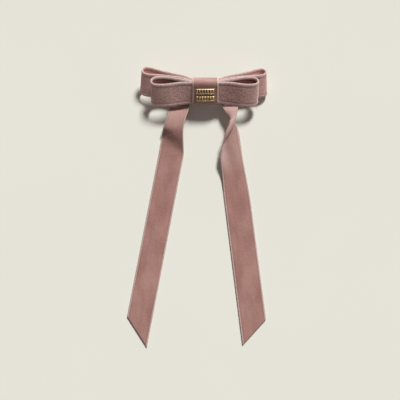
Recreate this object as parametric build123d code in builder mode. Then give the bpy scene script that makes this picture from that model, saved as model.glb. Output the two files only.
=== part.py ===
"""Velvet ribbon bow on a French clasp barrette, lying on a table with its two tails spread out flat.

Millimetres, +Z up out of the table, +Y from the tails towards the bow, +X to the right.
The origin is on the table under the middle of the whole object.
The bow and its clip lean back on the clip's lower edge, so they are drawn in a tilted bow frame:
u runs along the clip, w up the ribbon's width and n out through the front of the bow.
"""

import os
from math import cos, radians, sin

from build123d import *

# Ribbon
RIBBON_WIDTH = 16.0
RIBBON_THICK = 1.0
BAND_THICK = 0.8

# Bow frame: the bow leans back by LEAN and rests on the clip's lower back edge
LEAN = 34.0
CLIP_HALF_WIDTH = 4.0
CLIP_BACK = -9.4
KNOT_X = 4.87
KNOT_Y = 71.64
KNOT_Z = CLIP_HALF_WIDTH * sin(radians(LEAN)) - CLIP_BACK * cos(radians(LEAN))

# The band, and the n of the middle of each ribbon's layers inside it
BAND_HALF_WIDTH = 8.4
BAND_HALF_DEPTH = 3.3
BAND_ROUND = 1.5
PINCHED_WIDTH = 15.0
FRONT_LAYERS = 1.5
REAR_LAYERS = -0.5
TAIL_LAYER = -2.0

# Loops: where they leave the knot, how far each reaches from it, their depth, how far back their
# round ends sit, and the angle that each side swings up in the bow's own plane
LOOP_START = 10.4
START_RADIUS = 0.85
START_HOLLOW = 0.05
FRONT_REACH = {"left": 33.4, "right": 32.6}
FRONT_DEPTH = 5.8
FRONT_END = 0.7
FRONT_SWING = {"left": -2.5, "right": -2.5}
REAR_REACH = {"left": 39.8, "right": 38.2}
REAR_DEPTH = 4.8
REAR_END = -6.35
REAR_SWING = {"left": 6.5, "right": 5.0}

# Tails: behind the rear loops each one runs outward on a slope, then turns down
STUB_START = 8.4
STUB_LENGTH = {"left": 13.2, "right": 12.4}
STUB_SLOPE = 15.0

# Base plate: a shallow arch between two flat end pads
PLATE_TOP = -3.7
PLATE_THICK = 0.7
PAD_TOP = -7.1
PAD_START = 24.0
PLATE_RIGHT = 28.6
PLATE_LEFT = -30.4
LINING_THICK = 0.4
STITCH_U = 24.8
STITCH_W = 2.4
THREAD_RADIUS = 0.3
KNOT_RADIUS = 0.6
KNOT_HEIGHT = 0.2

# Hinge
PIN_U = 27.0
PIN_N = -8.7
PIN_RADIUS = 0.5
PIN_CLEARANCE = 0.05
EYE_RADIUS = 0.85
EAR_START = 25.6
EAR_THICK = 0.6

# Clasp arm, which ends in a two-pronged fork
ARM_HALF_WIDTH = 3.2
ARM_THICK = 0.8
ARM_TIP = -30.2
FORK_HALF_WIDTH = 2.6
FORK_ROOT = -25.2

# Tension bar
BAR_END = 21.0
BAR_END_TOP = -7.1
BAR_MIDDLE_TOP = -7.95
BAR_THICK = 0.35
BAR_HALF_WIDTH = 2.4
TONGUE_HALF_WIDTH = 1.2
TONGUE_HALF_THICK = 0.2
TONGUE_TOP = -6.35
SLOT_CLEARANCE = 0.1

# Spring catch: a web riveted under the left pad, and two tabs that pinch together
WEB_START = -30.2
WEB_END = -25.6
WEB_THICK = 0.4
RIVET_U = (-29.4, -27.0)
RIVET_RADIUS = 0.5
TAB_START = -32.6
TAB_END = -26.0
TAB_INNER = 1.6
TAB_THICK = 0.5
TAB_TOP = -8.3
TAB_BACK = -10.0
BARB_START = -29.4
BARB_END = -27.2
BARB_TOP = -9.5
BARB_REACH = 0.4
FINGER_END = -30.9
FINGER_REACH = 1.3
FINGER_BACK = -9.6

# Gold ornament: two slim bars on the front of the band
ORNAMENT_LENGTH = 11.0
ORNAMENT_HEIGHT = 3.3
ORNAMENT_THICK = 0.7
ORNAMENT_W = {"upper": 1.4, "lower": -3.6}
PRONG_RADIUS = 0.35
PRONG_U = 4.0

lean = radians(LEAN)
along = Vector(1, 0, 0)
upward = Vector(0, cos(lean), sin(lean))
forward = Vector(0, -sin(lean), cos(lean))
knot_centre = Vector(KNOT_X, KNOT_Y, KNOT_Z)

SIDES = (("left", -1), ("right", 1))


def in_bow(u, w, n):
    """The point of the table frame that lies at u, w, n of the bow frame."""
    return knot_centre + along * u + upward * w + forward * n


def from_knot(x, y, z):
    """The point at height z over the table, x and y away from the spot under the knot's centre."""
    return Vector(KNOT_X + x, KNOT_Y + y, z)


def edge_plane(w=0.0, swing=0.0):
    """A plane that sees the ribbon's edge: x along the clip, swung by an angle, and y to the front."""
    turn = radians(swing)
    run = along * cos(turn) + upward * sin(turn)
    across = upward * cos(turn) - along * sin(turn)
    return Plane(origin=knot_centre + across * w, x_dir=run, z_dir=across * -1)


def face_plane(n=0.0):
    """A plane parallel to the front of the bow at distance n from the knot's centre."""
    return Plane(origin=in_bow(0, 0, n), x_dir=along, z_dir=forward)


def end_plane(u=0.0):
    """A plane across the clip at distance u, with x up the ribbon's width and y to the front."""
    return Plane(origin=in_bow(u, 0, 0), x_dir=upward, z_dir=along)


def save(part, name):
    """Labels a finished piece and writes its file."""
    part.label = name
    export_step(part, f"parts/{name}.step")


def teardrop(start, start_radius, end, end_radius):
    """One loop seen from its edge: a small round at the knot hulled to a large one at its far end."""
    with BuildSketch(mode=Mode.PRIVATE) as outline:
        with Locations(start):
            Circle(start_radius)
        with Locations(end):
            Circle(end_radius)
        make_hull()
    return outline.sketch


def loop_ribbon(name, layers_n, reach, depth, end_n, swing):
    """One ribbon folded into a left and a right loop, pinched flat where the band holds it."""
    with BuildPart() as ribbon:
        with BuildSketch(face_plane(layers_n - RIBBON_THICK)):
            Rectangle(2 * LOOP_START, PINCHED_WIDTH)
        extrude(amount=2 * RIBBON_THICK)
        for key, side in SIDES:
            start = (side * LOOP_START, layers_n)
            end = (side * (reach[key] - depth / 2), end_n)
            outside = teardrop(start, START_RADIUS, end, depth / 2)
            hollow = teardrop(start, START_HOLLOW, end, depth / 2 - RIBBON_THICK)
            with BuildSketch(edge_plane(swing=side * swing[key])):
                add(outside)
                add(hollow, mode=Mode.SUBTRACT)
            extrude(amount=RIBBON_WIDTH / 2, both=True)
    save(ribbon.part, name)


def knot_band():
    """The band that wraps the pinched middle of the bow, with holes for the ornament's prongs."""
    with BuildPart() as band:
        with BuildSketch(end_plane(-RIBBON_WIDTH / 2)):
            RectangleRounded(2 * BAND_HALF_WIDTH, 2 * BAND_HALF_DEPTH, BAND_ROUND)
            inner_width = 2 * (BAND_HALF_WIDTH - BAND_THICK)
            inner_depth = 2 * (BAND_HALF_DEPTH - BAND_THICK)
            Rectangle(inner_width, inner_depth, mode=Mode.SUBTRACT)
        extrude(amount=RIBBON_WIDTH)
        with BuildSketch(face_plane(0)):
            for w in ORNAMENT_W.values():
                with Locations((-PRONG_U, w), (PRONG_U, w)):
                    Circle(PRONG_RADIUS)
        extrude(amount=BAND_HALF_DEPTH, mode=Mode.SUBTRACT)
    save(band.part, "knot_band")


def ornament(key):
    """One gold bar with rounded ends, and the two prongs that hold it in the band."""
    prong_root = BAND_HALF_DEPTH - BAND_THICK
    w = ORNAMENT_W[key]
    with BuildPart() as bar:
        with BuildSketch(face_plane(BAND_HALF_DEPTH)):
            with Locations((0, w)):
                SlotOverall(ORNAMENT_LENGTH, ORNAMENT_HEIGHT)
        extrude(amount=ORNAMENT_THICK)
        front_edges = bar.faces().sort_by(Axis(in_bow(0, w, 0), forward))[-1].edges()
        fillet(front_edges, ORNAMENT_THICK / 2)
        with BuildSketch(face_plane(prong_root)):
            with Locations((-PRONG_U, w), (PRONG_U, w)):
                Circle(PRONG_RADIUS)
        extrude(amount=BAND_THICK)
    save(bar.part, f"ornament_{key}_bar")


def stub_plane(side):
    """The sloping plane of a tail behind the rear loops: x outward from the knot, y up the width."""
    slope = radians(STUB_SLOPE)
    outward = along * (side * cos(slope)) - forward * sin(slope)
    return Plane(
        origin=in_bow(side * STUB_START, 0, TAIL_LAYER),
        x_dir=outward,
        z_dir=outward.cross(upward),
    )


def tail(key, side, edges, cut_end):
    """One free end of ribbon: the layer in the knot, the sloping stub, the run down to the table and
    the flat stretch that lies on it. Edges holds a pair of points for each cross-section, one on each
    edge of the ribbon, and cut_end is the pair at the slanting cut."""
    pairs = edges + [cut_end]
    middles = [(a + b) * 0.5 for a, b in pairs]
    with BuildPart() as ribbon:
        for index, (a, b) in enumerate(edges):
            landed = index == len(edges) - 1
            before = middles[index if landed else max(index - 1, 0)]
            across = (b - a).normalized()
            heading = middles[index + 1] - before
            square_heading = heading - across * heading.dot(across)
            with BuildSketch(Plane(origin=middles[index], x_dir=across, z_dir=square_heading)):
                Rectangle((b - a).length, RIBBON_THICK)
        loft(ruled=True)
        with BuildSketch(Plane.XY):
            with BuildLine():
                corners = (*edges[-1], *reversed(cut_end))
                Polyline(*[(corner.X, corner.Y) for corner in corners], close=True)
            make_face()
        extrude(amount=RIBBON_THICK)
        with BuildSketch(stub_plane(side)):
            with Locations((STUB_LENGTH[key] / 2, 0)):
                Rectangle(STUB_LENGTH[key], PINCHED_WIDTH)
        extrude(amount=RIBBON_THICK / 2, both=True)
        with BuildSketch(face_plane(TAIL_LAYER - RIBBON_THICK / 2)):
            with Locations((side * STUB_START / 2, 0)):
                Rectangle(STUB_START, PINCHED_WIDTH)
        extrude(amount=RIBBON_THICK)
    save(ribbon.part, f"tail_{key}")


def base_plate():
    """The stamped plate: arch, end pads, hinge ears, and its slots and holes."""
    under = PLATE_THICK
    with BuildPart() as plate:
        with BuildSketch(edge_plane()):
            with BuildLine():
                Line((PLATE_LEFT, PAD_TOP), (-PAD_START, PAD_TOP))
                ThreePointArc((-PAD_START, PAD_TOP), (0, PLATE_TOP), (PAD_START, PAD_TOP))
                Polyline(
                    (PAD_START, PAD_TOP),
                    (PLATE_RIGHT, PAD_TOP),
                    (PLATE_RIGHT, PAD_TOP - under),
                    (PAD_START, PAD_TOP - under),
                )
                ThreePointArc(
                    (PAD_START, PAD_TOP - under), (0, PLATE_TOP - under), (-PAD_START, PAD_TOP - under)
                )
                Polyline((-PAD_START, PAD_TOP - under), (PLATE_LEFT, PAD_TOP - under), (PLATE_LEFT, PAD_TOP))
            make_face()
        extrude(amount=CLIP_HALF_WIDTH, both=True)
        for side in (-1, 1):
            with BuildSketch(edge_plane(side * (CLIP_HALF_WIDTH - EAR_THICK / 2))):
                ear_middle = (EAR_START + PLATE_RIGHT) / 2
                ear_depth = PAD_TOP - CLIP_BACK
                with Locations((ear_middle, PAD_TOP - ear_depth / 2)):
                    Rectangle(PLATE_RIGHT - EAR_START, ear_depth)
                with Locations((PIN_U, PIN_N)):
                    Circle(PIN_RADIUS, mode=Mode.SUBTRACT)
            extrude(amount=EAR_THICK / 2, both=True)
        with BuildSketch(face_plane(PAD_TOP - under)):
            slot_size = (
                2 * (TONGUE_HALF_THICK + SLOT_CLEARANCE),
                2 * (TONGUE_HALF_WIDTH + SLOT_CLEARANCE),
            )
            with Locations((-BAR_END, 0), (BAR_END, 0)):
                Rectangle(*slot_size)
            with GridLocations(2 * STITCH_U, 2 * STITCH_W, 2, 2):
                Circle(THREAD_RADIUS)
            for u in RIVET_U:
                with Locations((u, 0)):
                    Circle(RIVET_RADIUS)
        extrude(amount=PLATE_TOP - PAD_TOP + under, mode=Mode.SUBTRACT)
    save(plate.part, "base_plate")


def lining_strip():
    """The strip of grosgrain glued along the top of the arch, between the plate and the bow."""
    with BuildPart() as lining:
        with BuildSketch(edge_plane()):
            with BuildLine():
                ThreePointArc((-PAD_START, PAD_TOP), (0, PLATE_TOP), (PAD_START, PAD_TOP))
                Line((PAD_START, PAD_TOP), (PAD_START, PAD_TOP + LINING_THICK))
                ThreePointArc(
                    (PAD_START, PAD_TOP + LINING_THICK),
                    (0, PLATE_TOP + LINING_THICK),
                    (-PAD_START, PAD_TOP + LINING_THICK),
                )
                Line((-PAD_START, PAD_TOP + LINING_THICK), (-PAD_START, PAD_TOP))
            make_face()
        extrude(amount=CLIP_HALF_WIDTH - 0.2, both=True)
    save(lining.part, "lining_strip")


def sewing_threads():
    """Four threads through the end pads, each with a small knot above and below the plate."""
    plate_under = PAD_TOP - PLATE_THICK
    with BuildPart() as threads:
        with BuildSketch(face_plane(plate_under)):
            with GridLocations(2 * STITCH_U, 2 * STITCH_W, 2, 2):
                Circle(THREAD_RADIUS)
        extrude(amount=PLATE_THICK)
        for n in (plate_under - KNOT_HEIGHT, PAD_TOP):
            with BuildSketch(face_plane(n)):
                with GridLocations(2 * STITCH_U, 2 * STITCH_W, 2, 2):
                    Circle(KNOT_RADIUS)
            extrude(amount=KNOT_HEIGHT)
    save(threads.part, "sewing_threads")


def hinge_pin():
    """The pin through both ears and the arm's eye, peened flush."""
    with BuildPart() as pin:
        with BuildSketch(edge_plane()):
            with Locations((PIN_U, PIN_N)):
                Circle(PIN_RADIUS)
        extrude(amount=CLIP_HALF_WIDTH, both=True)
    save(pin.part, "hinge_pin")


def clasp_arm():
    """The flat arm that closes over the hair: a rolled eye at one end and a fork at the other."""
    arm_middle = CLIP_BACK + ARM_THICK / 2
    with BuildPart() as arm:
        with BuildSketch(edge_plane()):
            with Locations(((ARM_TIP + PIN_U) / 2, arm_middle)):
                Rectangle(PIN_U - ARM_TIP, ARM_THICK)
            with Locations((PIN_U, PIN_N)):
                Circle(EYE_RADIUS)
                Circle(PIN_RADIUS + PIN_CLEARANCE, mode=Mode.SUBTRACT)
        extrude(amount=ARM_HALF_WIDTH, both=True)
        fork_length = FORK_ROOT - ARM_TIP
        with BuildSketch(face_plane(CLIP_BACK)):
            with Locations((ARM_TIP + fork_length / 2, 0)):
                Rectangle(fork_length, 2 * FORK_HALF_WIDTH)
        extrude(amount=ARM_THICK, mode=Mode.SUBTRACT)
    save(arm.part, "clasp_arm")


def tension_bar():
    """The bowed leaf that presses the hair on to the arm, hooked into the plate by two tongues."""
    with BuildPart() as bar:
        with BuildSketch(edge_plane()):
            with BuildLine():
                ends = BAR_END + TONGUE_HALF_THICK
                ThreePointArc((-ends, BAR_END_TOP), (0, BAR_MIDDLE_TOP), (ends, BAR_END_TOP))
                Line((ends, BAR_END_TOP), (ends, BAR_END_TOP - BAR_THICK))
                ThreePointArc(
                    (ends, BAR_END_TOP - BAR_THICK),
                    (0, BAR_MIDDLE_TOP - BAR_THICK),
                    (-ends, BAR_END_TOP - BAR_THICK),
                )
                Line((-ends, BAR_END_TOP - BAR_THICK), (-ends, BAR_END_TOP))
            make_face()
        extrude(amount=BAR_HALF_WIDTH, both=True)
        with BuildSketch(face_plane(BAR_END_TOP - BAR_THICK)):
            with Locations((-BAR_END, 0), (BAR_END, 0)):
                Rectangle(2 * TONGUE_HALF_THICK, 2 * TONGUE_HALF_WIDTH)
        extrude(amount=TONGUE_TOP - BAR_END_TOP + BAR_THICK)
    save(bar.part, "tension_bar")


def catch_web():
    """The web of the spring catch, under the left pad."""
    web_top = PAD_TOP - PLATE_THICK
    with BuildPart() as web:
        with BuildSketch(face_plane(web_top - WEB_THICK)):
            with Locations(((WEB_START + WEB_END) / 2, 0)):
                Rectangle(WEB_END - WEB_START, 2 * FORK_HALF_WIDTH)
            for u in RIVET_U:
                with Locations((u, 0)):
                    Circle(RIVET_RADIUS, mode=Mode.SUBTRACT)
        extrude(amount=WEB_THICK)
    save(web.part, "catch_web")


def catch_rivets():
    """Two flush rivets that hold the catch to the plate."""
    length = PLATE_THICK + WEB_THICK
    with BuildPart() as rivets:
        with BuildSketch(face_plane(PAD_TOP - length)):
            for u in RIVET_U:
                with Locations((u, 0)):
                    Circle(RIVET_RADIUS)
        extrude(amount=length)
    save(rivets.part, "catch_rivets")


def catch_tab(name, side):
    """One leg of the catch: a thin blade that rolls on its round root, with a barb for the fork and
    a pad for the finger."""
    blade_middle = side * (TAB_INNER + TAB_THICK / 2)
    outer = TAB_INNER + TAB_THICK
    root = TAB_TOP - TAB_THICK / 2
    with BuildPart() as tab:
        with BuildSketch(end_plane(TAB_START)):
            with Locations((blade_middle, root)):
                Circle(TAB_THICK / 2)
        extrude(amount=TAB_END - TAB_START)
        for start, end, top, back, w, half in (
            (TAB_START, TAB_END, root, TAB_BACK, blade_middle, TAB_THICK / 2),
            (BARB_START, BARB_END, BARB_TOP, TAB_BACK, side * (outer + BARB_REACH / 2), BARB_REACH / 2),
            (TAB_START, FINGER_END, root, FINGER_BACK, side * (outer + FINGER_REACH / 2), FINGER_REACH / 2),
        ):
            with BuildSketch(edge_plane(w)):
                with Locations(((start + end) / 2, (top + back) / 2)):
                    Rectangle(end - start, top - back)
            extrude(amount=half, both=True)
    save(tab.part, name)


def stub_edge(side, key, w):
    """The two points where a tail leaves its stub at height w: the outer end first."""
    place = stub_plane(side)
    far = place.from_local_coords((STUB_LENGTH[key] - 0.3, w, 0))
    near = place.from_local_coords((0.3, w, 0))
    return Vector(far), Vector(near)


os.makedirs("parts", exist_ok=True)

loop_ribbon("rear_loops", REAR_LAYERS, REAR_REACH, REAR_DEPTH, REAR_END, REAR_SWING)
loop_ribbon("front_loops", FRONT_LAYERS, FRONT_REACH, FRONT_DEPTH, FRONT_END, FRONT_SWING)
knot_band()
ornament("upper")
ornament("lower")

# Each tail leaves the bow leaning, with its outer edge high, and comes down to lie on the table.
# The left tail only rolls flat. The right tail makes half a twist, so its outer edge ends up inside.
lying = RIBBON_THICK / 2
tail(
    "left",
    -1,
    [
        stub_edge(-1, "left", -6.8),
        (from_knot(-22.0, -9.6, 4.4), from_knot(-9.7, -9.6, 2.0)),
        (from_knot(-24.4, -17.7, 6.6), from_knot(-12.2, -17.4, 1.4)),
        (from_knot(-26.0, -22.8, 5.2), from_knot(-13.4, -23.2, 1.2)),
        (from_knot(-27.0, -26.8, 2.0), from_knot(-13.6, -28.8, 1.0)),
        (from_knot(-29.0, -38.8, lying), from_knot(-13.3, -38.8, lying)),
    ],
    (from_knot(-48.5, -139.0, lying), from_knot(-36.2, -158.3, lying)),
)
tail(
    "right",
    1,
    [
        stub_edge(1, "right", -6.8),
        (from_knot(20.2, -9.7, 4.6), from_knot(10.4, -10.1, 1.6)),
        (from_knot(19.2, -14.8, 8.6), from_knot(13.8, -15.2, 1.2)),
        (from_knot(17.4, -19.8, 11.0), from_knot(17.7, -19.4, 1.0)),
        (from_knot(14.8, -25.2, 11.0), from_knot(20.8, -23.9, 0.8)),
        (from_knot(10.6, -30.9, 8.5), from_knot(22.1, -31.3, 0.7)),
        (from_knot(9.2, -39.7, 5.5), from_knot(23.3, -39.4, 0.6)),
        (from_knot(10.5, -51.3, 2.4), from_knot(25.4, -51.2, lying)),
        (from_knot(11.9, -66.8, lying), from_knot(28.2, -66.8, lying)),
    ],
    (from_knot(23.2, -157.1, lying), from_knot(37.9, -140.9, lying)),
)

base_plate()
lining_strip()
sewing_threads()
hinge_pin()
clasp_arm()
tension_bar()
catch_web()
catch_rivets()
catch_tab("catch_tab_upper", 1)
catch_tab("catch_tab_lower", -1)
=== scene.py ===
"""A velvet bow barrette with two long tails, lying on a pale table and seen from straight above.

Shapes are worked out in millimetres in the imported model's frame and turned into metres when a mesh
is made. The bow has a frame of its own: u along the clip, w up the ribbon's width, n out of the front.
Materials are in metres, and their colours are linear red, green and blue.
"""

import math

import bmesh
import bpy
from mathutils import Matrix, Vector, noise


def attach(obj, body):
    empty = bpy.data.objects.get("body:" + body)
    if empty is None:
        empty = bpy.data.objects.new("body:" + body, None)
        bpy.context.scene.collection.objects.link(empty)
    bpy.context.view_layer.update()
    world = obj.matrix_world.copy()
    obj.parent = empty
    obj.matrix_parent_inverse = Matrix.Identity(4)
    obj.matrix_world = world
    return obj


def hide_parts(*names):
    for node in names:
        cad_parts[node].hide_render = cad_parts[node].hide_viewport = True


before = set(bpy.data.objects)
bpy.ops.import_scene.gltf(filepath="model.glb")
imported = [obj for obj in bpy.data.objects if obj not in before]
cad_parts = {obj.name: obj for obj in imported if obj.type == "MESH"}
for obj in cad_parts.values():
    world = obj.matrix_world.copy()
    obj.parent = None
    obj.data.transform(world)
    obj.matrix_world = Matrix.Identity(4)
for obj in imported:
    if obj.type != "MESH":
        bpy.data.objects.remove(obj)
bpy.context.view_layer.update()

MM = 0.001

# The bow leans back, and its knot is the origin of its own frame.
LEAN = math.radians(34.0)
KNOT = Vector((4.87, 71.64, 10.03))
ALONG = Vector((1.0, 0.0, 0.0))
UPWARD = Vector((0.0, math.cos(LEAN), math.sin(LEAN)))
FORWARD = Vector((0.0, -math.sin(LEAN), math.cos(LEAN)))

# The velvet ribbon: its size, the steps of its mesh, and the lowest place a point may have.
RIBBON_WIDTH = 16.0
HALF_THICK = 0.5
PINCHED_HALF = 7.4
STEP = 0.5
TAIL_STEP = 0.8
LOWEST = 0.02

# The corded woven edge: distance from the edge in cords, and share of the ribbon's half thickness.
CORD_PROFILE = ((0.1, 0.55), (0.32, 0.92), (0.7, 1.12), (1.1, 1.08), (1.4, 0.86), (1.7, 0.92), (2.0, 0.98))
CORD_TO_PILE = 0.8
LOOP_CORD = 1.6
TAIL_CORD = 0.8

# The pile's unevenness: its height, where it starts, and how fast it changes across, along and
# from one side to the other.
PILE_HEIGHT = 0.06
BAND_PILE_HEIGHT = 0.04
PILE_STARTS = 1.2
PILE_FULL = 2.6
CRUMPLE_ACROSS = 0.9
CRUMPLE_ALONG = 0.5
CRUMPLE_SIDES = 9.0

# The loops: layer place in the knot, reach left and right, radius and n of the far bend, swing of
# the front and back layers left and right, and half the gap between them at shares of the way out.
LOOP_START = 8.4
LAYER_INSET = 2.0
BEND_ANGLES = (0.35, 0.95, math.pi / 2, math.pi - 0.95, math.pi - 0.35)
SWING_FROM = 3.0
SWING_FULL = 13.0
WIDENS_FROM = 7.0
WIDENS_TO = 16.0
FRONT = {
    "layers": 1.5,
    "reach": (33.4, 32.6),
    "bend": 2.1,
    "end": 0.7,
    "front_swing": (-2.6, -2.6),
    "back_swing": (2.0, 1.6),
    "half_gaps": ((0.0, 0.5), (0.2, 0.7), (0.42, 1.6), (0.64, 2.8), (0.84, 2.95)),
}
REAR = {
    "layers": -0.5,
    "reach": (39.8, 38.2),
    "bend": 1.7,
    "end": -6.0,
    "front_swing": (3.6, 2.4),
    "back_swing": (7.2, 5.8),
    "half_gaps": ((0.0, 0.5), (0.2, 0.56), (0.45, 0.66), (0.64, 1.0), (0.8, 1.8), (0.92, 2.2)),
}

# The band round the knot.
BAND_HALF_HEIGHT = 8.4
BAND_HALF_DEPTH = 3.3
BAND_ROUND = 2.2
BAND_HALF_THICK = 0.4
ROUND_DEGREES = (3.0, 24.0, 45.0, 66.0, 87.0)
STRAIGHT_SHARES = (0.6, 0.0, -0.6)

# The ornament: two rows, each of beads between two rails.
ORNAMENT_LENGTH = 11.0
ORNAMENT_HEIGHT = 3.3
ORNAMENT_W = {"upper": 1.4, "lower": -3.6}
ORNAMENT_GAP = 0.02
RAIL_RADIUS = 0.26
BEAD_RADIUS = 0.47
BEAD_COLUMNS = 7
BEAD_ROWS = 3
BEAD_INSET = 0.12
BEAD_SINK = 0.85
PRONG_U = 4.0
PRONG_RADIUS = 0.3
DOME_DEGREES = (12, 35, 62, 90)

# The clip's lining.
PAD_TOP = -7.1
PLATE_TOP = -3.7
PAD_START = 24.0
PLATE_THICK = 0.7
LINING_THICK = 0.4
LINING_HALF_WIDTH = 3.8
LINING_INSET = 0.3
LINING_PILE = 0.02
LINING_CORD = 0.45

# The threads through the end pads, each with laps of thread as its two knots.
STITCH_U = 24.8
STITCH_W = 2.4
THREAD_RADIUS = 0.28
THREAD_PROUD = 0.1
THREAD_DOME = 0.2
LAPS = 3
LAP_HALF_LENGTH = 0.5
LAP_RADIUS = 0.17
LAP_RISE = 0.06
LAP_PITCH = 0.04
LAP_START_DEGREES = 20
LAP_TURN_DEGREES = 60

# The tails' stubs behind the rear loops, and the height of a tail's middle where it lies flat.
TAIL_LAYER = -2.0
LAYER_END = 6.0
STUB_START = 8.4
STUB_SLOPE = math.radians(15.0)
STUB_LENGTH = {-1: 13.2, 1: 12.4}
LYING = 0.52

# Velvet patterns: tufts and fibres in cycles a metre, the others across and along the ribbon.
TUFT_SCALE = 1150.0
FIBRE_SCALE = 3600.0
STREAK_SCALE = (380.0, 90.0)
CRUSH_SCALE = (80.0, 42.0)
WEAVE_SCALE = (1500.0, 900.0)
STREAK_SHARE = 0.15
NAP_RANGE = (0.32, 0.68)
TUFT_RANGE = (0.36, 0.66)
PATTERN_RANGE = (0.3, 0.7)
# Tufts are painted lighter than the light pile: partly the pile's mottle, partly painted highlight.
TUFT_BRIGHTER = 1.5
# Painted shade in the groove beside the cord: how much darker, and how much of it is mixed in.
GROOVE_DARKER = 0.6
GROOVE_SHARE = 0.3
WEAVE_DARKER = 0.7
PILE_SHEEN_TINT = (0.95, 0.78, 0.76, 1.0)

# Distances in metres from a ribbon's edge, for a cord of 1: the woven cord fades out over the
# first pair, and painted shade in the groove beside it comes in over the second and goes out
# over the third.
CORD_FADE = (0.00095, 0.00135)
GROOVE_IN = (0.0011, 0.0014)
GROOVE_OUT = (0.0016, 0.0021)
PAINTED_SHEEN_ACROSS = (0.002, 0.009)

# Velvet colours.
DARK_ROSE = (0.29, 0.148, 0.126)
LIGHT_ROSE = (0.40, 0.23, 0.195)
# Pale rose mixed into the tails' pile as painted sheen.
SHEEN_PAINTED_ROSE = (0.63, 0.455, 0.42)
# The band is the same ribbon as the tails, painted lighter as painted light on its lit top.
BAND_DARK = (0.36, 0.205, 0.18)
BAND_LIGHT = (0.49, 0.31, 0.275)
# The loops are the tails' ribbon painted lighter: painted sheen on the front loops, painted light on the
# rear loops.
FRONT_DARK = (0.38, 0.21, 0.185)
FRONT_LIGHT = (0.57, 0.37, 0.33)
REAR_DARK = (0.50, 0.28, 0.26)
REAR_LIGHT = (0.68, 0.43, 0.405)
# The ribbon's rosier reverse, seen inside the loops: darkened as painted shade inside the front loops and
# lightened as painted light inside the rear loops.
FRONT_BACK_DARK = (0.29, 0.12, 0.10)
FRONT_BACK_LIGHT = (0.38, 0.175, 0.15)
REAR_BACK_DARK = (0.88, 0.47, 0.42)
REAR_BACK_LIGHT = (0.96, 0.56, 0.50)
PALE_EDGE = (0.72, 0.54, 0.50)
TAIL_EDGE = (0.58, 0.425, 0.385)

# Velvet pile: depth of the tufts in metres, how much they show as lighter colour (the pile's own
# mottle, and on the loops painted highlight where light catches the tufts), and each sheen's
# weight and roughness.
FLAT_TUFT = 0.00012
FRONT_TUFT = 0.00042
REAR_TUFT = 0.00036
BACK_TUFT = 0.0001
FINEST_FIBRE = 0.00003
FIBRE_SHARE = 0.2
FLAT_TINT = 0.2
FRONT_TINT = 0.85
REAR_TINT = 0.7
TAIL_SHEEN = (0.9, 0.35)
LOOP_SHEEN = (1.0, 0.5)
TWIST_SHEEN = (1.0, 0.22)
FRONT_BACK_SHEEN = (0.3, 0.4)
REAR_BACK_SHEEN = (0.5, 0.4)

# Painted sheen on the tails: how much pale colour is mixed into the pile, the metres along the tail
# between which it fades out, and how much of it is left at the far edge.
LEFT_PAINTED_SHEEN = (0.34, 0.030, 0.050, 1.0)
RIGHT_PAINTED_SHEEN = (0.95, 0.058, 0.072, 0.25)
TWIST_PAINTED_SHEEN = (0.68, 0.060, 0.074, 1.0)

# Plain cloths and metals, and the table.
LINING_ROSE = (0.42, 0.26, 0.23)
THREAD_ROSE = (0.35, 0.2, 0.18)
RIB_SCALE = (60.0, 1500.0)
TWIST_SCALE = 3500.0
RIB_DEPTH = 0.0001
GOLD = (1.0, 0.82, 0.46)
NICKEL = (0.34, 0.34, 0.35)
SPRING_STEEL = (0.28, 0.28, 0.29)
BRIGHT_STEEL = (0.45, 0.45, 0.45)
WEAR_SCALE = 260.0
GOLD_GRAIN = 900.0
STEEL_GRAIN = 1400.0
TABLE_DARK = (0.784, 0.790, 0.716)
TABLE_LIGHT = (0.802, 0.808, 0.737)
TABLE_CLOUD_SCALE = 9.0
TABLE_HALF_SIZE = 1.5

# Light and camera, in metres.
KEY_AZIMUTH = math.radians(19.0)
KEY_HEIGHT = math.radians(37.5)
KEY_ENERGY = 4.22
KEY_ANGLE = math.radians(11.0)
KEY_COLOUR = (1.0, 0.995, 0.985)
KEY_DISTANCE = 1.5
WORLD_COLOUR = (1.0, 0.83, 0.82, 1.0)
WORLD_STRENGTH = 0.172
CAMERA_PLACE = (0.00167, 0.00484, 0.600)
CAMERA_LENS = 86.73
CAMERA_SENSOR = 36.0


def in_bow(u, w, n):
    """The table-frame point at u, w, n of the bow's frame."""
    return KNOT + ALONG * u + UPWARD * w + FORWARD * n


def from_knot(x, y, z):
    """The table-frame point at height z, x and y away from the spot under the knot."""
    return Vector((KNOT.x + x, KNOT.y + y, z))


def smooth_step(start, end, value):
    """0 before start, 1 after end, and an easy turn between them."""
    share = min(max((value - start) / (end - start), 0.0), 1.0)
    return share * share * (3 - 2 * share)


# ---------------------------------------------------------------- paths and ribbons


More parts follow.
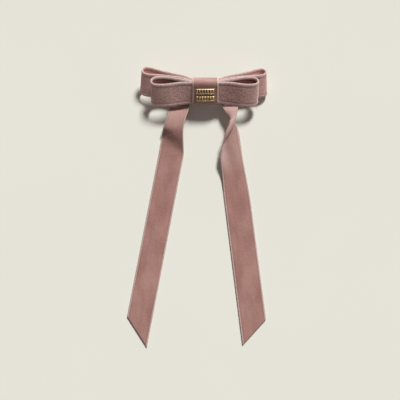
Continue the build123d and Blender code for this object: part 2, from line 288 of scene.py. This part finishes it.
def spline(knots, step, closed=False):
    """Rows of numbers on a smooth curve through the given rows, about a step apart."""
    count = len(knots)
    spans = count if closed else count - 1

    def row(index):
        if closed:
            return knots[index % count]
        return knots[min(max(index, 0), count - 1)]

    def gap(index):
        total = sum((b - a) ** 2 for a, b in zip(row(index), row(index + 1)))
        return max(math.sqrt(total), 1e-6)

    def slope(index):
        if not closed and index in (0, count - 1):
            near = min(index, count - 2)
            return [(b - a) / gap(near) for a, b in zip(row(near), row(near + 1))]
        before = gap(index - 1)
        after = gap(index)
        return [
            ((c - b) / after * before + (b - a) / before * after) / (before + after)
            for a, b, c in zip(row(index - 1), row(index), row(index + 1))
        ]

    rows = []
    for index in range(spans):
        length = gap(index)
        start, end = row(index), row(index + 1)
        leave, arrive = slope(index), slope(index + 1)
        pieces = max(1, round(length / step))
        for piece in range(pieces):
            t = piece / pieces
            a = 2 * t**3 - 3 * t**2 + 1
            b = t**3 - 2 * t**2 + t
            c = -2 * t**3 + 3 * t**2
            d = t**3 - t**2
            rows.append(
                [
                    a * p + b * length * m + c * q + d * length * k
                    for p, m, q, k in zip(start, leave, end, arrive)
                ]
            )
    if not closed:
        rows.append(list(knots[-1]))
    return rows


def section(start, end, middle=None):
    """A ribbon's cross-section as nine numbers: its two edge points and the point half-way across."""
    if middle is None:
        middle = (start + end) * 0.5
    return [*start, *end, *middle]


def section_columns(width, half_thick, cord):
    """Places across a ribbon and its half thickness there: corded edges, a groove, then pile."""
    left = [(place * cord, share * half_thick) for place, share in CORD_PROFILE]
    flat_from = CORD_PROFILE[-1][0] * cord + CORD_TO_PILE
    spans = max(2, round((width - 2 * flat_from) / STEP))
    inner = []
    for index in range(spans + 1):
        inner.append((flat_from + (width - 2 * flat_from) * index / spans, half_thick))
    right = [(width - place, height) for place, height in reversed(left)]
    return left + inner + right


def lengths_along(middles):
    """The distance along a ribbon at each cross-section, and once more back at the first one."""
    lengths = [0.0]
    for index in range(1, len(middles) + 1):
        span = middles[index % len(middles)] - middles[index - 1]
        lengths.append(lengths[-1] + span.length)
    return lengths


def ribbon_ring(edges, onward, reached, columns, width, pile, seed):
    """Points round one cross-section and their places across it: out on one side, back on the other.

    edges are the two edge points and the middle; onward is the ribbon's heading there; reached is
    how far along it the cross-section is; seed moves the noise, so that ribbons differ.
    """
    a, b, c = edges
    points = []
    places = []
    for side, start, start_place, order in ((1, a, 0.0, columns), (-1, b, width, columns[::-1])):
        points.append(start)
        places.append(start_place)
        for place, height in order:
            share = place / width
            spot = a * ((1 - share) * (1 - 2 * share)) + c * (4 * share * (1 - share))
            spot += b * (share * (2 * share - 1))
            across = a * (4 * share - 3) + c * (4 - 8 * share) + b * (4 * share - 1)
            face = across.cross(onward).normalized()
            inside = smooth_step(PILE_STARTS, PILE_FULL, min(place, width - place))
            flat = Vector((place * CRUMPLE_ACROSS, reached * CRUMPLE_ALONG, side * CRUMPLE_SIDES)) + seed
            rough = pile * inside * noise.noise(flat)
            spot += face * (side * (height + rough))
            spot.z = max(spot.z, LOWEST)
            points.append(spot)
            places.append(place)
    return points, places


def close_end(mesh, layer, ring, places, reached, turn):
    """Closes one cut end of a ribbon with faces between its two sides."""
    size = len(ring)
    pairs = [(k, (size - k) % size) for k in range(size // 2 + 1)]
    for (k, low), (j, lower) in zip(pairs, pairs[1:]):
        corners = [ring[low], ring[lower], ring[j], ring[k]][::turn]
        unique = list(dict.fromkeys(corners))
        if len(unique) < 3:
            continue
        cap = mesh.faces.new(unique)
        for loop in cap.loops:
            loop[layer].uv = (places[ring.index(loop.vert)] * MM, reached * MM)


def ribbon(name, rows, half_thick, cord, width=RIBBON_WIDTH, closed=False, pile=PILE_HEIGHT):
    """A ribbon's mesh through rows of cross-sections, with its flat coordinates as a UV layer."""
    columns = section_columns(width, half_thick, cord)
    count = len(rows)
    sections = [(Vector(row[0:3]), Vector(row[3:6]), Vector(row[6:9])) for row in rows]
    middles = [middle for _, _, middle in sections]
    lengths = lengths_along(middles)
    seed = Vector((len(name) * 3.1, count * 0.37, 0))
    mesh = bmesh.new()
    layer = mesh.loops.layers.uv.new("flat")
    rings = []
    places = []
    for index, edges in enumerate(sections):
        before = middles[index - 1] if (closed or index > 0) else middles[index]
        after = middles[(index + 1) % count] if (closed or index < count - 1) else middles[index]
        points, marks = ribbon_ring(edges, after - before, lengths[index], columns, width, pile, seed)
        rings.append([mesh.verts.new(point * MM) for point in points])
        places.append(marks)
    size = len(rings[0])
    for index in range(count if closed else count - 1):
        after = (index + 1) % count
        for k in range(size):
            j = (k + 1) % size
            quad = mesh.faces.new((rings[index][k], rings[index][j], rings[after][j], rings[after][k]))
            quad.smooth = True
            quad.material_index = 0 if k >= size // 2 else 1
            corners = ((k, 0), (j, 0), (j, 1), (k, 1))
            for loop, (column, step) in zip(quad.loops, corners):
                loop[layer].uv = (places[index][column] * MM, lengths[index + step] * MM)
    if not closed:
        close_end(mesh, layer, rings[0], places[0], lengths[0], 1)
        close_end(mesh, layer, rings[-1], places[-1], lengths[count - 1], -1)
    mesh.normal_update()
    bmesh.ops.recalc_face_normals(mesh, faces=mesh.faces)
    return mesh_object(name, mesh)


def mesh_object(name, mesh):
    """Turns a bmesh into an object in the scene."""
    data = bpy.data.meshes.new(name)
    mesh.to_mesh(data)
    mesh.free()
    made = bpy.data.objects.new(name, data)
    bpy.context.scene.collection.objects.link(made)
    return made


# ---------------------------------------------------------------- materials


class Nodes:
    """A short way to build one material's node tree round a principled shader."""

    def __init__(self, name):
        self.material = bpy.data.materials.new(name)
        self.material.use_nodes = True
        self.tree = self.material.node_tree
        self.tree.nodes.clear()
        self.output = self.tree.nodes.new("ShaderNodeOutputMaterial")
        self.shader = self.tree.nodes.new("ShaderNodeBsdfPrincipled")
        self.tree.links.new(self.shader.outputs["BSDF"], self.output.inputs["Surface"])

    def set(self, **values):
        """Sets inputs of the shader to constants, with _ for each space in an input's name."""
        for name, value in values.items():
            self.shader.inputs[name.replace("_", " ")].default_value = value

    def link(self, source, name):
        """Feeds an input of the shader from another node."""
        self.tree.links.new(source, self.shader.inputs[name])

    def flat(self, across=1.0, along=1.0):
        """The ribbon's own flat coordinates in metres, stretched by two factors."""
        coords = self.tree.nodes.new("ShaderNodeUVMap")
        coords.uv_map = "flat"
        mapping = self.tree.nodes.new("ShaderNodeMapping")
        mapping.inputs["Scale"].default_value = (across, along, 1.0)
        self.tree.links.new(coords.outputs["UV"], mapping.inputs["Vector"])
        return mapping.outputs["Vector"]

    def flat_parts(self):
        """Distances in metres across a ribbon from its first edge, and along it from its start."""
        split = self.tree.nodes.new("ShaderNodeSeparateXYZ")
        self.tree.links.new(self.flat(), split.inputs["Vector"])
        return split.outputs["X"], split.outputs["Y"]

    def place(self):
        """The piece's own coordinates in metres."""
        return self.tree.nodes.new("ShaderNodeTexCoord").outputs["Object"]

    def noise(self, vector, scale, detail=2.0, roughness=0.5):
        """A cloudy value about 0.5."""
        texture = self.tree.nodes.new("ShaderNodeTexNoise")
        texture.inputs["Scale"].default_value = scale
        texture.inputs["Detail"].default_value = detail
        texture.inputs["Roughness"].default_value = roughness
        self.tree.links.new(vector, texture.inputs["Vector"])
        return texture.outputs["Fac"]

    def math(self, operation, first, second):
        """One sum of two values, each a number or another node's output."""
        node = self.tree.nodes.new("ShaderNodeMath")
        node.operation = operation
        for socket, value in zip(node.inputs, (first, second)):
            if isinstance(value, (int, float)):
                socket.default_value = value
            else:
                self.tree.links.new(value, socket)
        return node.outputs["Value"]

    def spread(self, value, low, high, to_low=0.0, to_high=1.0):
        """Stretches low to high smoothly over to_low to to_high."""
        node = self.tree.nodes.new("ShaderNodeMapRange")
        node.interpolation_type = "SMOOTHSTEP"
        node.inputs["From Min"].default_value = low
        node.inputs["From Max"].default_value = high
        node.inputs["To Min"].default_value = to_low
        node.inputs["To Max"].default_value = to_high
        self.tree.links.new(value, node.inputs["Value"])
        return node.outputs["Result"]

    def mix(self, share, first, second):
        """A share of the way from the first colour to the second."""
        node = self.tree.nodes.new("ShaderNodeMix")
        node.data_type = "RGBA"
        for socket, value in ((node.inputs[0], share), (node.inputs[6], first), (node.inputs[7], second)):
            if isinstance(value, tuple):
                socket.default_value = (*value, 1.0)
            elif isinstance(value, float):
                socket.default_value = value
            else:
                self.tree.links.new(value, socket)
        return node.outputs[2]

    def bump(self, height, depth, after=None):
        """A bumped normal, depth metres deep, on top of an earlier bump."""
        node = self.tree.nodes.new("ShaderNodeBump")
        node.inputs["Distance"].default_value = depth
        self.tree.links.new(height, node.inputs["Height"])
        if after is not None:
            self.tree.links.new(after, node.inputs["Normal"])
        return node.outputs["Normal"]


def scaled(colour, factor):
    """A colour made darker or brighter."""
    return tuple(min(1.0, value * factor) for value in colour)


def pile_colour(nodes, dark, light, painted_sheen):
    """The pile's colour: streaks and crushed patches, and paler where sheen is painted in."""
    streak = nodes.noise(nodes.flat(*STREAK_SCALE), 1.0, 3.0, 0.55)
    crush = nodes.noise(nodes.flat(*CRUSH_SCALE), 1.0, 3.0, 0.5)
    streaks = nodes.math("MULTIPLY", streak, STREAK_SHARE)
    patches = nodes.math("MULTIPLY", crush, 1.0 - STREAK_SHARE)
    nap = nodes.math("ADD", streaks, patches)
    colour = nodes.mix(nodes.spread(nap, *NAP_RANGE), dark, light)
    if painted_sheen is None:
        return colour
    share, sheen_from, sheen_to, far_share = painted_sheen
    across, along = nodes.flat_parts()
    # Painted sheen: pale colour near the knot, fading out along the tail and across it.
    sheen_along_share = nodes.spread(along, sheen_to, sheen_from, 0.0, share)
    sheen_across_share = nodes.spread(across, *PAINTED_SHEEN_ACROSS, 1.0, far_share)
    return nodes.mix(nodes.math("MULTIPLY", sheen_along_share, sheen_across_share), colour, SHEEN_PAINTED_ROSE)


def velvet_material(name, colours, cord, tuft_depth, tuft_tint, sheen, painted_sheen=None):
    """Dusty rose velvet: mottled short pile with a pale corded woven edge.

    colours are dark pile, light pile and edge; tuft_tint is how much the tufts show as lighter
    colour, partly painted highlight;
    sheen is a weight and a roughness; the last argument is one of the rows of painted sheen above.
    """
    dark, light, edge_colour = colours
    nodes = Nodes(name)
    across, _ = nodes.flat_parts()
    edge = nodes.math("MINIMUM", across, nodes.math("SUBTRACT", RIBBON_WIDTH * MM, across))
    tuft = nodes.noise(nodes.flat(), TUFT_SCALE, 4.0, 0.68)
    fibre = nodes.noise(nodes.flat(), FIBRE_SCALE, 1.0)
    body = pile_colour(nodes, dark, light, painted_sheen)
    # Lighter tufts: the pile's own mottle, and painted highlight where light catches them.
    body = nodes.mix(nodes.spread(tuft, *TUFT_RANGE, 0.0, tuft_tint), body, scaled(light, TUFT_BRIGHTER))

    # Painted shade in the groove beside the corded edge.
    groove_in = nodes.spread(edge, GROOVE_IN[0] * cord, GROOVE_IN[1] * cord)
    groove_out = nodes.spread(edge, GROOVE_OUT[1] * cord, GROOVE_OUT[0] * cord)
    groove = nodes.math("MULTIPLY", groove_in, groove_out)
    body = nodes.mix(nodes.math("MULTIPLY", groove, GROOVE_SHARE), body, scaled(dark, GROOVE_DARKER))

    weave = nodes.noise(nodes.flat(*WEAVE_SCALE), 1.0, 2.0, 0.6)
    woven = nodes.mix(nodes.spread(weave, *PATTERN_RANGE), scaled(edge_colour, WEAVE_DARKER), edge_colour)
    on_cord = nodes.spread(edge, CORD_FADE[1] * cord, CORD_FADE[0] * cord)
    nodes.link(nodes.mix(on_cord, body, woven), "Base Color")

    tufted = nodes.bump(tuft, tuft_depth)
    nodes.link(nodes.bump(fibre, FINEST_FIBRE + tuft_depth * FIBRE_SHARE, tufted), "Normal")
    nodes.link(nodes.spread(tuft, 0.2, 0.8, 0.78, 0.95), "Roughness")
    nodes.set(Sheen_Weight=sheen[0], Sheen_Roughness=sheen[1], Sheen_Tint=PILE_SHEEN_TINT)
    nodes.set(Specular_IOR_Level=0.15)
    return nodes.material


def cloth_material(name, colour, scales):
    """A ribbed or twisted cloth in one colour; scales is a pair for flat cloth, one number for thread."""
    nodes = Nodes(name)
    if isinstance(scales, tuple):
        ribs = nodes.noise(nodes.flat(*scales), 1.0)
    else:
        ribs = nodes.noise(nodes.place(), scales)
    nodes.link(nodes.mix(nodes.spread(ribs, *PATTERN_RANGE), scaled(colour, 0.75), colour), "Base Color")
    nodes.link(nodes.bump(ribs, RIB_DEPTH), "Normal")
    nodes.set(Roughness=0.85, Sheen_Weight=0.2, Sheen_Roughness=0.4)
    return nodes.material


def metal_material(name, colour, roughness, grain, grain_depth):
    """A plated metal with a fine grain and slight wear."""
    nodes = Nodes(name)
    wear = nodes.noise(nodes.place(), WEAR_SCALE, 4.0, 0.6)
    scratch = nodes.noise(nodes.place(), grain, 3.0, 0.7)
    nodes.link(nodes.mix(nodes.spread(wear, 0.35, 0.65), scaled(colour, 0.82), colour), "Base Color")
    nodes.link(nodes.spread(wear, *PATTERN_RANGE, roughness * 0.8, roughness * 1.3), "Roughness")
    nodes.link(nodes.bump(scratch, grain_depth), "Normal")
    nodes.set(Metallic=1.0)
    return nodes.material


def table_material():
    """The pale table."""
    nodes = Nodes("pale_table")
    cloud = nodes.noise(nodes.place(), TABLE_CLOUD_SCALE, 3.0)
    nodes.link(nodes.mix(nodes.spread(cloud, 0.2, 0.8), TABLE_DARK, TABLE_LIGHT), "Base Color")
    nodes.set(Roughness=0.95, Specular_IOR_Level=0.1)
    return nodes.material


def tail_velvet(name, sheen, painted_sheen):
    """The velvet of the tails, which differs in its sheen and in the sheen painted into its colour."""
    colours = (DARK_ROSE, LIGHT_ROSE, TAIL_EDGE)
    return velvet_material(name, colours, TAIL_CORD, FLAT_TUFT, FLAT_TINT, sheen, painted_sheen)


def loop_velvet(name, dark, light, tuft_depth, tuft_tint, sheen):
    """The loops' velvet, whose colours hold painted light and shade, and which differs in tufts and sheen.
    """
    return velvet_material(name, (dark, light, PALE_EDGE), LOOP_CORD, tuft_depth, tuft_tint, sheen)


# The tails' velvets, each with its own painted sheen in its colour.
left_tail_painted_sheen_velvet = tail_velvet("left_tail_painted_sheen_velvet", TAIL_SHEEN, LEFT_PAINTED_SHEEN)
turned_velvet = tail_velvet("turned_velvet", TAIL_SHEEN, RIGHT_PAINTED_SHEEN)
twisted_velvet = tail_velvet("twisted_velvet", TWIST_SHEEN, TWIST_PAINTED_SHEEN)
# The band's velvet, painted lighter than the tails' as painted light.
band_velvet = velvet_material(
    "band_velvet", (BAND_DARK, BAND_LIGHT, PALE_EDGE), TAIL_CORD, FLAT_TUFT, FLAT_TINT, TAIL_SHEEN
)
# Front and rear loops: lighter copies of the ribbon's velvet, with painted sheen and painted light.
front_loop_painted_sheen_velvet = loop_velvet("front_loop_painted_sheen_velvet", FRONT_DARK, FRONT_LIGHT, FRONT_TUFT, FRONT_TINT, LOOP_SHEEN)
rear_loop_painted_light_velvet = loop_velvet(
    "rear_loop_painted_light_velvet", REAR_DARK, REAR_LIGHT, REAR_TUFT, REAR_TINT, LOOP_SHEEN
)
# The reverse inside the front loops carries painted shade, and inside the rear loops painted light.
front_inside_painted_shade = loop_velvet(
    "front_inside_painted_shade", FRONT_BACK_DARK, FRONT_BACK_LIGHT, BACK_TUFT, 0.0, FRONT_BACK_SHEEN
)
rear_inside_painted_light = loop_velvet(
    "rear_inside_painted_light", REAR_BACK_DARK, REAR_BACK_LIGHT, BACK_TUFT, 0.0, REAR_BACK_SHEEN
)
lining_cloth = cloth_material("grosgrain", LINING_ROSE, RIB_SCALE)
thread_cloth = cloth_material("sewing_thread", THREAD_ROSE, TWIST_SCALE)
gold = metal_material("gold_plate", GOLD, 0.42, GOLD_GRAIN, 0.00002)
clip_steel = metal_material("nickel_plated_steel", NICKEL, 0.52, STEEL_GRAIN, 0.00001)
spring_steel = metal_material("bright_spring_steel", SPRING_STEEL, 0.50, STEEL_GRAIN, 0.00001)
pin_steel = metal_material("bright_pin", BRIGHT_STEEL, 0.34, STEEL_GRAIN, 0.000006)


def dress(piece, material, reverse=None):
    """Gives a piece its material and slot and lets it ride the bow; reverse is a ribbon's other side."""
    piece.data.materials.append(material)
    piece.data.materials.append(reverse or material)
    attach(piece, "bow")


# ---------------------------------------------------------------- the bow


def loop_half(side, shape):
    """Centre-line rows (distance along, n, swing) of one loop, out in front and back behind."""
    key = 0 if side < 0 else 1
    layers = shape["layers"]
    end = shape["end"]
    radius = shape["bend"]
    bend = shape["reach"][key] - HALF_THICK - radius
    front_swing = shape["front_swing"][key]
    back_swing = shape["back_swing"][key]
    front = [(LOOP_START - LAYER_INSET, layers + HALF_THICK, front_swing)]
    back = [(LOOP_START - LAYER_INSET, layers - HALF_THICK, back_swing)]
    for share, half_gap in shape["half_gaps"]:
        u = LOOP_START + (bend - LOOP_START) * share
        middle = layers + (end - layers) * share
        front.append((u, middle + half_gap, front_swing))
        back.append((u, middle - half_gap, back_swing))
    outer = []
    for angle in BEND_ANGLES:
        swing = front_swing + (back_swing - front_swing) * angle / math.pi
        outer.append((bend + radius * math.sin(angle), end + radius * math.cos(angle), swing))
    return front + outer + back[::-1]


def loops(name, shape):
    """One closed ribbon that makes the left and the right loop."""
    right = loop_half(1, shape)
    left = [(-u, n, -swing) for u, n, swing in reversed(loop_half(-1, shape))]
    rows = []
    for u, n, swing in spline(right + left, STEP, closed=True):
        turn = math.radians(swing) * smooth_step(SWING_FROM, SWING_FULL, abs(u))
        widening = smooth_step(WIDENS_FROM, WIDENS_TO, abs(u))
        half = PINCHED_HALF + (RIBBON_WIDTH / 2 - PINCHED_HALF) * widening
        run = ALONG * math.cos(turn) + UPWARD * math.sin(turn)
        across = UPWARD * math.cos(turn) - ALONG * math.sin(turn)
        middle = KNOT + run * u + FORWARD * n
        rows.append(section(middle - across * half, middle + across * half))
    return ribbon(name, rows, HALF_THICK, LOOP_CORD, closed=True)


def knot_band():
    """The band of ribbon wrapped round the knot."""
    half_height = BAND_HALF_HEIGHT - BAND_HALF_THICK
    half_depth = BAND_HALF_DEPTH - BAND_HALF_THICK
    round_height = half_height - BAND_ROUND
    round_depth = half_depth - BAND_ROUND
    path = []
    for w_side, n_side, start in ((1, 1, 0.0), (-1, 1, 90.0), (-1, -1, 180.0), (1, -1, 270.0)):
        for degrees in ROUND_DEGREES:
            angle = math.radians(start + degrees)
            w = w_side * round_height + BAND_ROUND * math.cos(angle)
            n = n_side * round_depth + BAND_ROUND * math.sin(angle)
            path.append((w, n))
        if n_side == w_side:
            path += [(w_side * round_height * share, path[-1][1]) for share in STRAIGHT_SHARES]
    rows = []
    for w, n in spline(path, STEP, closed=True):
        rows.append(section(in_bow(-RIBBON_WIDTH / 2, w, n), in_bow(RIBBON_WIDTH / 2, w, n)))
    return ribbon("knot_band_velvet", rows, BAND_HALF_THICK, TAIL_CORD, closed=True, pile=BAND_PILE_HEIGHT)


def bar(mesh, start, end, radius, dome=1.0, sides=12):
    """A round bar from start to end with domed tips; dome is each tip's height as a share of radius."""
    onward = (end - start).normalized()
    reference = ALONG if abs(onward.dot(FORWARD)) > 0.9 else FORWARD
    side = onward.cross(reference).normalized()
    up = side.cross(onward)
    tip = radius * dome
    angles = [math.radians(degrees) for degrees in DOME_DEGREES]
    stops = [(start + onward * (tip * (1 - math.cos(a))), radius * math.sin(a)) for a in angles]
    stops += [(end - onward * (tip * (1 - math.cos(a))), radius * math.sin(a)) for a in reversed(angles)]
    rings = []
    for point, size in stops:
        ring = []
        for k in range(sides):
            angle = 2 * math.pi * k / sides
            offset = side * (size * math.cos(angle)) + up * (size * math.sin(angle))
            ring.append(mesh.verts.new((point + offset) * MM))
        rings.append(ring)
    for ring, following in zip(rings, rings[1:]):
        for k in range(sides):
            j = (k + 1) % sides
            mesh.faces.new((ring[k], ring[j], following[j], following[k])).smooth = True
    mesh.faces.new(rings[0][::-1]).smooth = True
    mesh.faces.new(rings[-1]).smooth = True


def ornament(key):
    """One row of the gold ornament: columns of beads between two rails, and two prongs behind."""
    w = ORNAMENT_W[key]
    half_length = ORNAMENT_LENGTH / 2
    half_height = ORNAMENT_HEIGHT / 2
    face = BAND_HALF_DEPTH + ORNAMENT_GAP
    rail_n = face + RAIL_RADIUS
    mesh = bmesh.new()
    for rail_w in (w + half_height - RAIL_RADIUS, w - half_height + RAIL_RADIUS):
        bar(mesh, in_bow(-half_length, rail_w, rail_n), in_bow(half_length, rail_w, rail_n), RAIL_RADIUS)
    column_pitch = (ORNAMENT_LENGTH - 2 * BEAD_RADIUS - 2 * BEAD_INSET) / (BEAD_COLUMNS - 1)
    bead_pitch = (ORNAMENT_HEIGHT - 2 * BEAD_INSET) / BEAD_ROWS
    bead_n = face + BEAD_RADIUS * BEAD_SINK
    for column in range(BEAD_COLUMNS):
        u = (column - (BEAD_COLUMNS - 1) / 2) * column_pitch
        for row in range(BEAD_ROWS):
            low = w - half_height + BEAD_INSET + row * bead_pitch
            bar(mesh, in_bow(u, low, bead_n), in_bow(u, low + bead_pitch, bead_n), BEAD_RADIUS)
    for u in (-PRONG_U, PRONG_U):
        bar(mesh, in_bow(u, w, face - BAND_HALF_THICK * 2), in_bow(u, w, rail_n), PRONG_RADIUS)
    return mesh_object(f"ornament_{key}_beads", mesh)


# ---------------------------------------------------------------- lining and threads


def lining():
    """The strip of grosgrain along the top of the arched plate."""
    rise = PLATE_TOP - PAD_TOP
    radius = (PAD_START**2 + rise**2) / (2 * rise)
    ends = [(-PAD_START + LINING_INSET,), (PAD_START - LINING_INSET,)]
    rows = []
    for u, in spline(ends, STEP):
        n = PLATE_TOP - radius + math.sqrt(radius**2 - u**2) + LINING_THICK / 2
        rows.append(section(in_bow(u, LINING_HALF_WIDTH, n), in_bow(u, -LINING_HALF_WIDTH, n)))
    width = 2 * LINING_HALF_WIDTH
    return ribbon("lining_grosgrain", rows, LINING_THICK / 2, LINING_CORD, width, pile=LINING_PILE)


def threads():
    """Four stitches through the end pads, each a thread with a knot above and below."""
    mesh = bmesh.new()
    under = PAD_TOP - PLATE_THICK
    for u in (-STITCH_U, STITCH_U):
        for w in (-STITCH_W, STITCH_W):
            start = in_bow(u, w, under - THREAD_PROUD)
            end = in_bow(u, w, PAD_TOP + THREAD_PROUD)
            bar(mesh, start, end, THREAD_RADIUS, THREAD_DOME)
            for n, turn in ((under, -1), (PAD_TOP, 1)):
                for lap in range(LAPS):
                    swing = math.radians(LAP_TURN_DEGREES * lap + LAP_START_DEGREES)
                    reach = ALONG * math.cos(swing) + UPWARD * math.sin(swing)
                    middle = in_bow(u, w, n + turn * (LAP_RISE + LAP_PITCH * lap))
                    start = middle - reach * LAP_HALF_LENGTH
                    end = middle + reach * LAP_HALF_LENGTH
                    bar(mesh, start, end, LAP_RADIUS, sides=8)
    return mesh_object("sewing_stitches", mesh)


# ---------------------------------------------------------------- the tails


def in_stub(side, x, y):
    """The point x outward and y up the width on the stub behind a rear loop."""
    outward = ALONG * (side * math.cos(STUB_SLOPE)) - FORWARD * math.sin(STUB_SLOPE)
    return in_bow(side * STUB_START, 0, TAIL_LAYER) + outward * x + UPWARD * y


def tail(name, side, pairs):
    """One free end: out of the knot, fanned round behind the rear loop and down to the table."""
    length = STUB_LENGTH[side]
    fan = (
        ((3.5, 7.3), (0.3, -6.4)),
        ((8.6, 4.6), (0.5, -6.7)),
        ((length - 1.2, 0.2), (0.7, -7.0)),
        ((length - 0.3, -6.0), (0.9, -7.6)),
    )
    rows = []
    for u in (0.0, side * LAYER_END):
        rows.append(section(in_bow(u, PINCHED_HALF, TAIL_LAYER), in_bow(u, -PINCHED_HALF, TAIL_LAYER)))
    for upper, lower in fan:
        rows.append(section(in_stub(side, *upper), in_stub(side, *lower)))
    rows += pairs
    return ribbon(name, spline(rows, TAIL_STEP), HALF_THICK, TAIL_CORD)


def placed(outer, inner, middle=None):
    """A tail's cross-section from places that are x, y from the knot and z over the table."""
    if middle is None:
        return section(from_knot(*outer), from_knot(*inner))
    return section(from_knot(*outer), from_knot(*inner), from_knot(*middle))


def straight(start, end, count):
    """Cross-sections evenly spaced from one to another, the last one included."""
    rows = []
    for index in range(1, count + 1):
        share = index / count
        rows.append([a + (b - a) * share for a, b in zip(start, end)])
    return rows


# The left tail bulges over its crease and then lies flat down to the slanting cut.
left_landed = placed((-29.0, -38.8, LYING), (-13.3, -38.8, LYING))
left_cut = placed((-48.5, -139.0, LYING), (-36.2, -158.3, LYING))
left_rows = [
    placed((-22.0, -9.6, 5.4), (-9.7, -9.6, 5.1), (-15.9, -9.6, 4.5)),
    placed((-24.2, -17.2, 6.4), (-12.2, -17.2, 6.5), (-18.2, -17.2, 5.7)),
    placed((-26.0, -22.6, 4.6), (-13.4, -23.2, 6.2), (-19.6, -23.0, 5.5)),
    placed((-26.6, -25.2, 1.6), (-13.5, -27.4, 5.0), (-20.0, -26.6, 3.9)),
    placed((-27.1, -28.0, 0.6), (-13.4, -31.5, 3.5), (-20.4, -30.0, 2.0)),
    placed((-27.9, -32.5, 0.55), (-13.3, -35.2, 1.9), (-20.6, -33.8, 0.8)),
    left_landed,
]

# The right tail turns over in a half twist, comes down edge first and lies flat down to its cut.
right_landed = placed((11.9, -66.8, LYING), (28.2, -66.8, LYING))
right_cut = placed((23.2, -157.1, LYING), (37.9, -140.9, LYING))
right_rows = [
    placed((20.2, -9.7, 8.0), (10.9, -10.1, 6.0), (15.2, -9.9, 6.8)),
    placed((19.5, -13.8, 9.5), (13.8, -14.2, 6.5), (16.5, -14.0, 8.2)),
    placed((18.9, -16.4, 9.9), (15.2, -17.0, 5.6), (16.2, -16.8, 8.9)),
    placed((18.2, -18.4, 9.9), (18.6, -19.2, 2.6), (15.5, -18.9, 9.2)),
    placed((17.0, -21.2, 9.7), (20.0, -22.0, 1.2), (14.8, -21.8, 9.2)),
    placed((14.8, -25.6, 9.2), (21.2, -26.0, 0.8), (13.3, -25.8, 8.4)),
    placed((11.8, -31.0, 7.6), (22.0, -31.0, 0.7), (13.4, -31.0, 6.0)),
    placed((9.9, -36.2, 6.4), (22.8, -36.6, 0.6), (14.6, -36.4, 3.6)),
    placed((9.2, -40.4, 5.5), (23.3, -39.9, 0.55), (15.3, -40.0, 2.5)),
    placed((9.8, -46.2, 3.6), (24.3, -45.6, LYING), (16.6, -45.8, 1.3)),
    placed((10.5, -51.6, 2.1), (25.4, -51.2, LYING), (17.9, -51.4, 0.8)),
    placed((11.1, -58.4, 1.0), (26.7, -58.4, LYING), (18.9, -58.4, 0.6)),
    right_landed,
]


# ---------------------------------------------------------------- build

front = loops("front_loops_velvet", FRONT)
dress(front, front_loop_painted_sheen_velvet, reverse=front_inside_painted_shade)
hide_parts("front_loops")

rear = loops("rear_loops_velvet", REAR)
dress(rear, rear_loop_painted_light_velvet, reverse=rear_inside_painted_light)
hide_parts("rear_loops")

band = knot_band()
dress(band, band_velvet)
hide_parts("knot_band")

for key in ORNAMENT_W:
    beads = ornament(key)
    dress(beads, gold)
    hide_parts(f"ornament_{key}_bar")

tail_left = tail("tail_left_velvet", -1, left_rows + straight(left_landed, left_cut, 12))
dress(tail_left, left_tail_painted_sheen_velvet)
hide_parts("tail_left")

tail_right = tail("tail_right_velvet", 1, right_rows + straight(right_landed, right_cut, 10))
dress(tail_right, turned_velvet, reverse=twisted_velvet)
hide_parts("tail_right")

lining_piece = lining()
dress(lining_piece, lining_cloth)
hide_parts("lining_strip")

stitches = threads()
dress(stitches, thread_cloth)
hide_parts("sewing_threads")

# The clip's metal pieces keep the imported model's own shapes.
for node, material in (
    ("base_plate", clip_steel),
    ("clasp_arm", clip_steel),
    ("hinge_pin", pin_steel),
    ("catch_rivets", pin_steel),
    ("tension_bar", spring_steel),
    ("catch_web", spring_steel),
    ("catch_tab_upper", spring_steel),
    ("catch_tab_lower", spring_steel),
):
    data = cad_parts[node].data
    data.materials.clear()
    data.materials.append(material)

# ---------------------------------------------------------------- table, light and camera


def key_light():
    """One sun, up and to the right, soft enough to blur the loops' shadows."""
    data = bpy.data.lights.new("key", "SUN")
    data.energy = KEY_ENERGY
    data.angle = KEY_ANGLE
    data.color = KEY_COLOUR
    light = bpy.data.objects.new("key", data)
    bpy.context.scene.collection.objects.link(light)
    across = math.cos(KEY_HEIGHT)
    towards = Vector(
        (math.sin(KEY_AZIMUTH) * across, math.cos(KEY_AZIMUTH) * across, math.sin(KEY_HEIGHT))
    )
    light.rotation_euler = towards.to_track_quat("Z", "Y").to_euler()
    light.location = towards * KEY_DISTANCE


def studio_world():
    """Faint warm light from all round."""
    world = bpy.data.worlds.new("studio")
    world.use_nodes = True
    background = world.node_tree.nodes["Background"]
    background.inputs["Color"].default_value = WORLD_COLOUR
    background.inputs["Strength"].default_value = WORLD_STRENGTH
    bpy.context.scene.world = world
    bpy.context.scene.view_settings.view_transform = "Standard"


def camera():
    """A camera straight above, which looks down at the table."""
    data = bpy.data.cameras.new("camera")
    data.lens = CAMERA_LENS
    data.sensor_width = CAMERA_SENSOR
    eye = bpy.data.objects.new("camera", data)
    eye.location = CAMERA_PLACE
    bpy.context.scene.collection.objects.link(eye)
    bpy.context.scene.camera = eye


table = bmesh.new()
bmesh.ops.create_grid(table, x_segments=24, y_segments=24, size=TABLE_HALF_SIZE)
table_top = mesh_object("table_top", table)
table_top.data.materials.append(table_material())
key_light()
studio_world()
camera()
